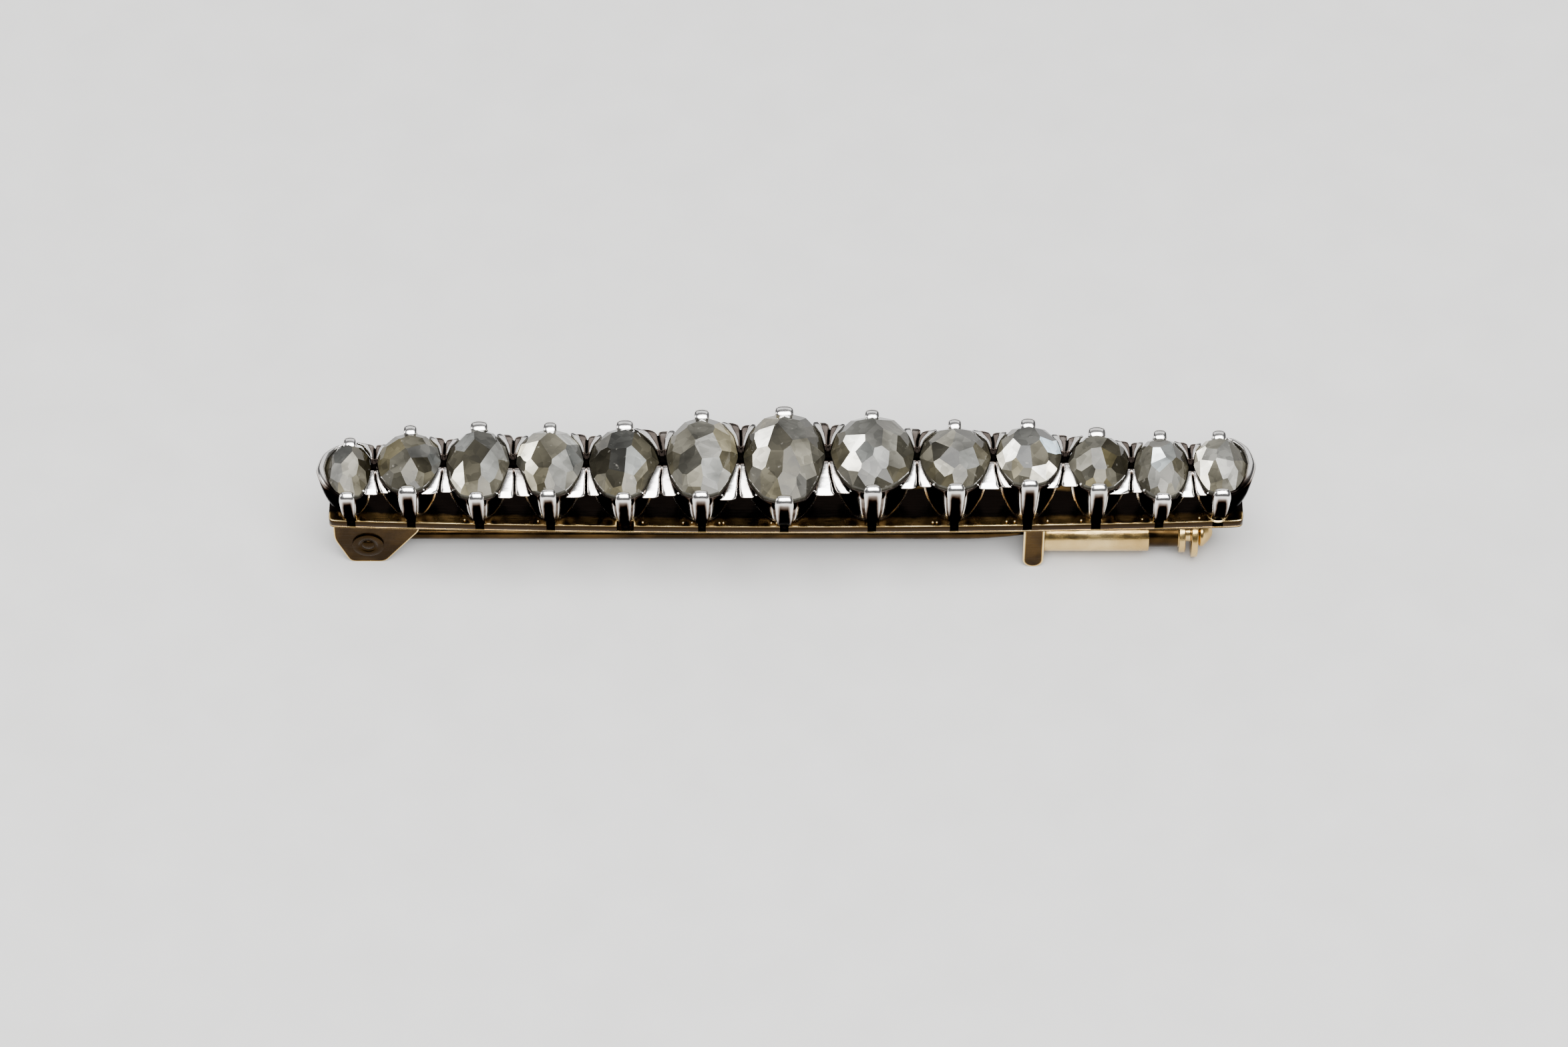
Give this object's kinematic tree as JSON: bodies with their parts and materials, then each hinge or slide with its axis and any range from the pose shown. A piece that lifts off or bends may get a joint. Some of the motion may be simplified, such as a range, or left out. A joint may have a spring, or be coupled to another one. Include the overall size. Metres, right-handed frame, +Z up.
{
  "type": "bar brooch",
  "caption": "Victorian style bar brooch: a row of graduated rose-cut stones in silver claw cups on a gold bar, with a hinged pin and a sliding tube catch.",
  "frame": {"origin": "centre of the brooch's box, at the surface that it lies on", "axes": "+X along the bar, from the pin's hinge to the catch's knob; +Z up through the stones' faces; +Y across the bar"},
  "size_m": [0.044, 0.006, 0.0078],
  "materials": {
    "silver": "old polished silver, slightly worn",
    "gold": "old polished yellow gold, slightly worn",
    "diamond": "old rose cuts, grey to brownish, polished"
  },
  "bodies": {
    "brooch": {"gold_back": "gold", "silver_setting": "silver", "stone_01": "diamond", "stone_02": "diamond", "stone_03": "diamond", "stone_04": "diamond", "stone_05": "diamond", "stone_06": "diamond", "stone_07": "diamond", "stone_08": "diamond", "stone_09": "diamond", "stone_10": "diamond", "stone_11": "diamond", "stone_12": "diamond", "stone_13": "diamond", "hinge_rivet": "gold"},
    "swing_pin": {"pin": "gold"},
    "slide": {"catch_slide": "gold"}
  },
  "joints": [
    {"name": "pin_swing", "type": "hinge", "parent": "brooch", "child": "swing_pin", "pos_m": [-0.0197, 0, 0.00128], "axis": [0, 1, 0], "range_deg": [0, 105]},
    {"name": "catch_slide", "type": "slide", "parent": "brooch", "child": "slide", "axis": [1, 0, 0], "range_m": [-0.00136, 0]}
  ]
}
